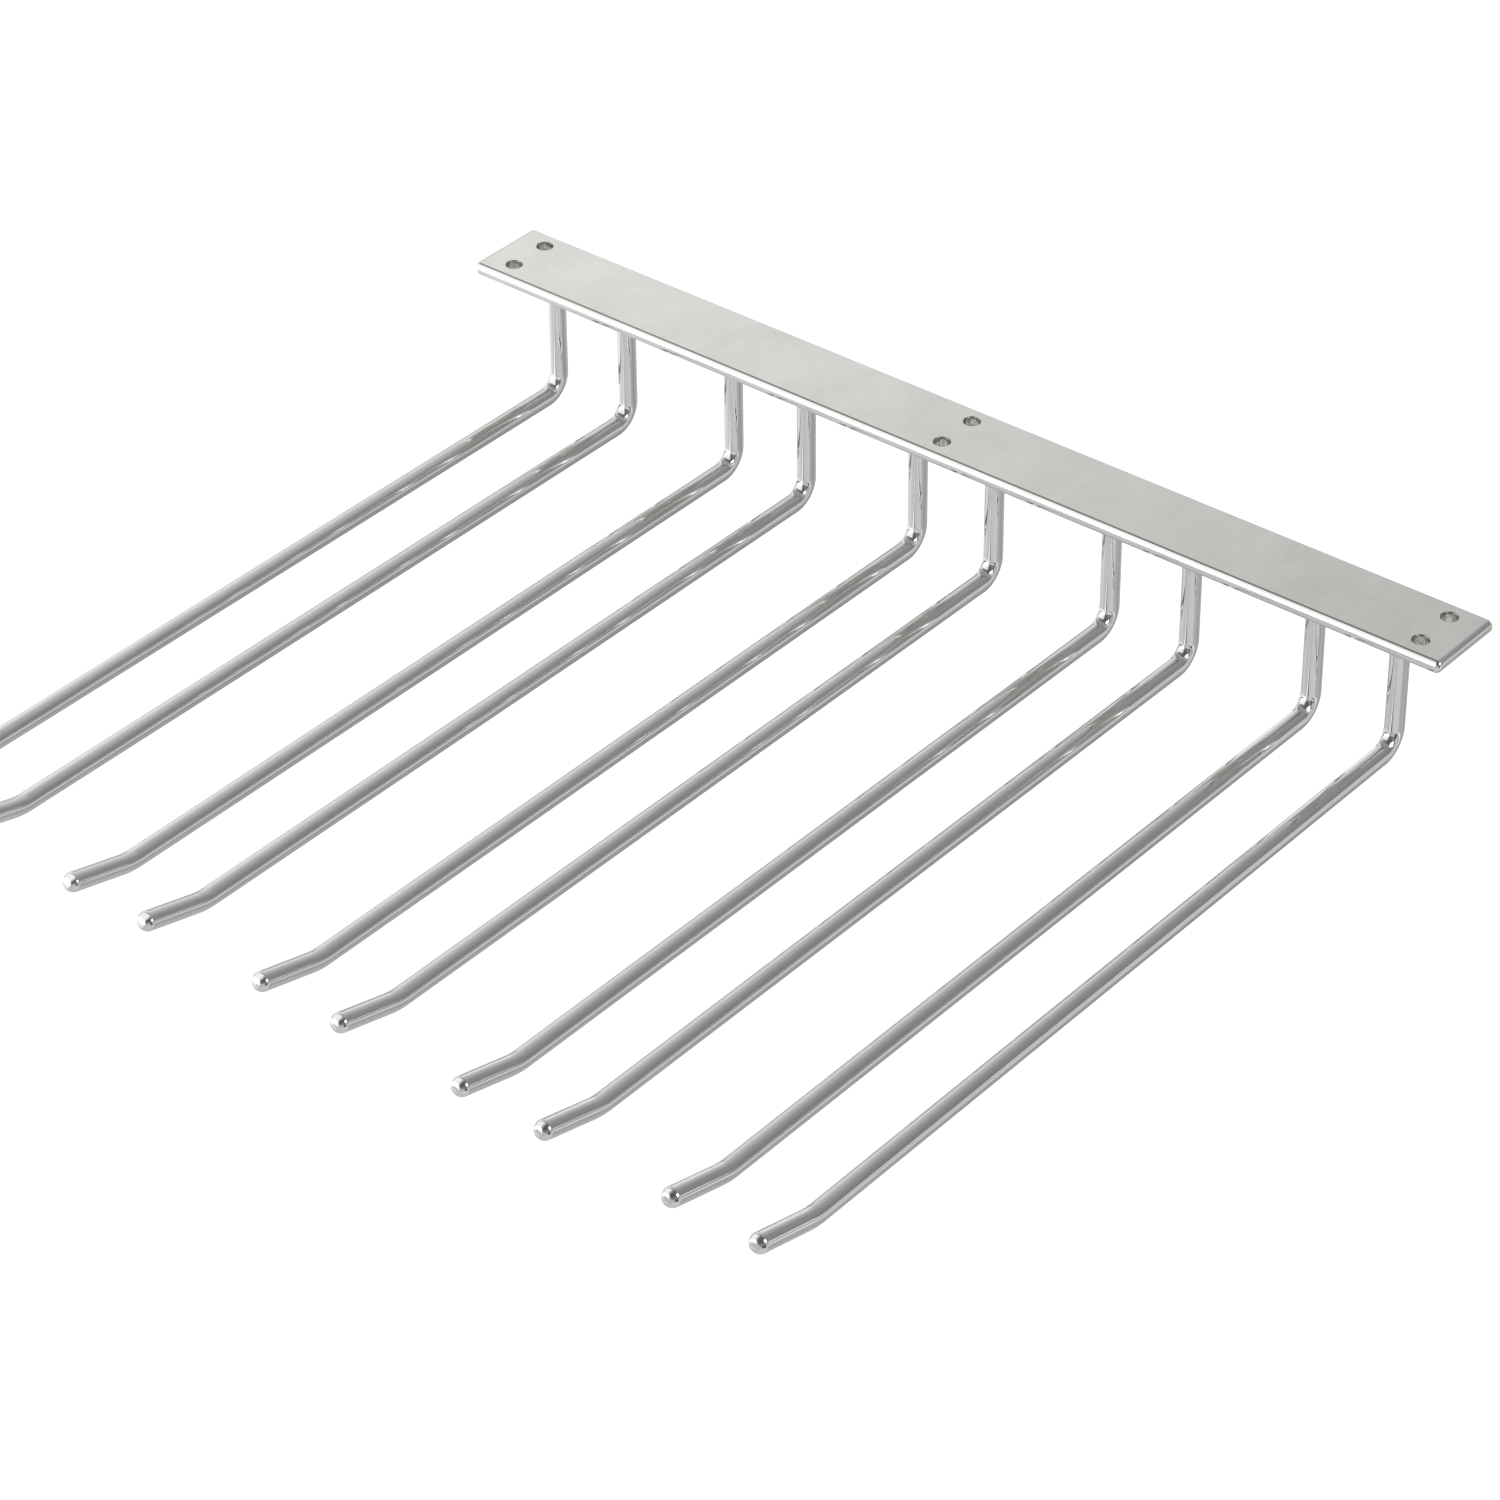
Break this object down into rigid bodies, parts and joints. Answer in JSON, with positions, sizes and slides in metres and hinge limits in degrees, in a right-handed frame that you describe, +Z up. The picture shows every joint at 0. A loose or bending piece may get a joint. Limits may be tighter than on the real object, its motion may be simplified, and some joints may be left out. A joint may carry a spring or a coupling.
{
  "type": "hanging wine glass rack",
  "caption": "Flat bar that screws up under a shelf, with pairs of bent rods that hold stemmed glasses upside down by their feet.",
  "frame": {"origin": "centre of the bar's top face, which lies against the shelf, between the two middle screw holes", "axes": "+X along the bar, +Z up out of the top face, and the rods reach out towards -Y, where the glasses slide in"},
  "size_m": [0.48, 0.4076, 0.064],
  "materials": {
    "bar_plating": "satin-polished plating on steel",
    "rod_plating": "mirror-polished plating on steel",
    "bead_plating": "bright plating over weld metal"
  },
  "bodies": {
    "root": {"mounting_bar": "bar_plating", "glass_rod_01": "rod_plating", "glass_rod_02": "rod_plating", "glass_rod_03": "rod_plating", "glass_rod_04": "rod_plating", "glass_rod_05": "rod_plating", "glass_rod_06": "rod_plating", "glass_rod_07": "rod_plating", "glass_rod_08": "rod_plating", "glass_rod_09": "rod_plating", "glass_rod_10": "rod_plating", "weld_bead_01": "bead_plating", "weld_bead_02": "bead_plating", "weld_bead_03": "bead_plating", "weld_bead_04": "bead_plating", "weld_bead_05": "bead_plating", "weld_bead_06": "bead_plating", "weld_bead_07": "bead_plating", "weld_bead_08": "bead_plating", "weld_bead_09": "bead_plating", "weld_bead_10": "bead_plating"}
  },
  "joints": []
}
